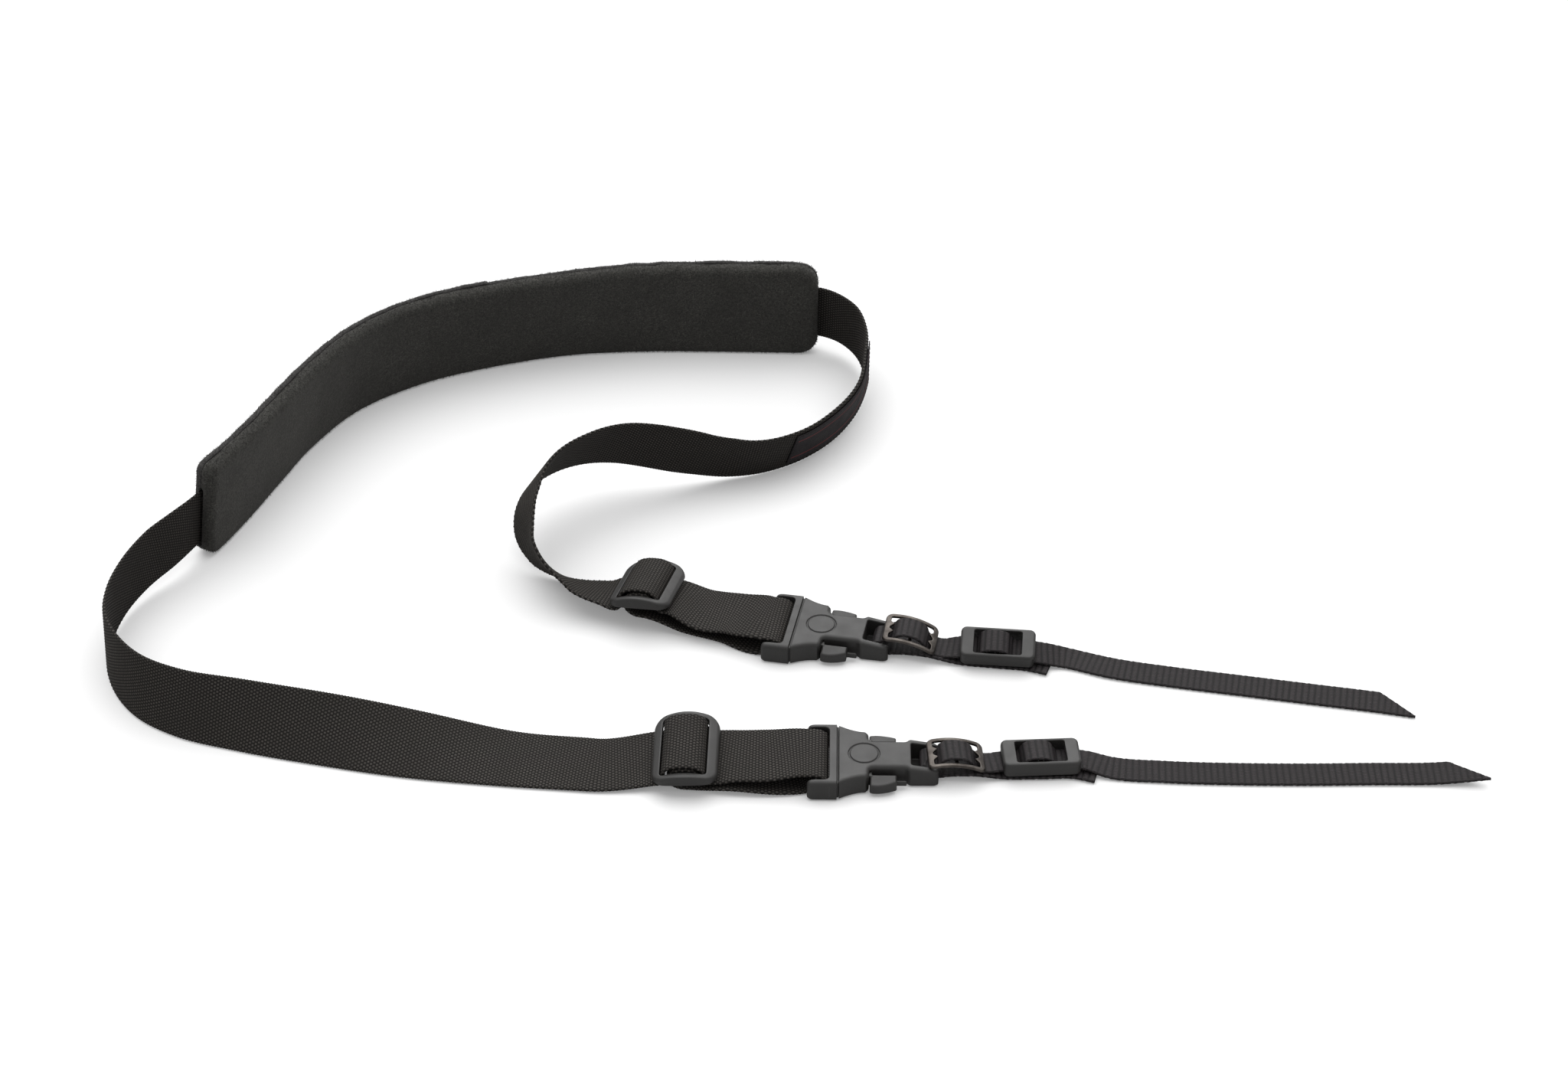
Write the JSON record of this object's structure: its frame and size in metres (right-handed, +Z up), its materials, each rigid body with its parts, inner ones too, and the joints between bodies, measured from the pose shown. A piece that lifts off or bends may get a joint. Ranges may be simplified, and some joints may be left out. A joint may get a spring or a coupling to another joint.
{
  "type": "neck strap",
  "caption": "Padded neck strap lying on a surface: suede pad, wide webbing with sliders, side-release buckles, toothed slides, keepers and narrow webbing tails that thread onto a camera.",
  "frame": {"origin": "centre of the bounding box on the surface that the strap lies on", "axes": "+X from the pad's side towards the free tails, +Y away from the viewer, +Z up"},
  "size_m": [0.4838, 0.2898, 0.0434],
  "materials": {
    "pad_suede": "black napped suede",
    "pad_backing": "dark grey felted backing",
    "wide_webbing": "black woven webbing",
    "narrow_webbing": "black ribbed webbing",
    "label_cloth": "black woven label with thin dark red border lines",
    "moulded_plastic": "finely textured black acetal",
    "slide_metal": "dark bronze coating on stamped steel"
  },
  "bodies": {
    "root": {"pad_front": "pad_suede", "pad_back": "pad_backing", "webbing_front": "wide_webbing", "webbing_rear": "wide_webbing", "label_patch": "label_cloth", "slider_front": "moulded_plastic", "slider_rear": "moulded_plastic", "buckle_plug_front": "moulded_plastic", "buckle_plug_rear": "moulded_plastic", "buckle_socket_front": "moulded_plastic", "buckle_socket_rear": "moulded_plastic", "tooth_slide_front": "slide_metal", "tooth_slide_rear": "slide_metal", "keeper_front": "moulded_plastic", "keeper_rear": "moulded_plastic", "narrow_webbing_front": "narrow_webbing", "narrow_webbing_rear": "narrow_webbing"}
  },
  "joints": []
}
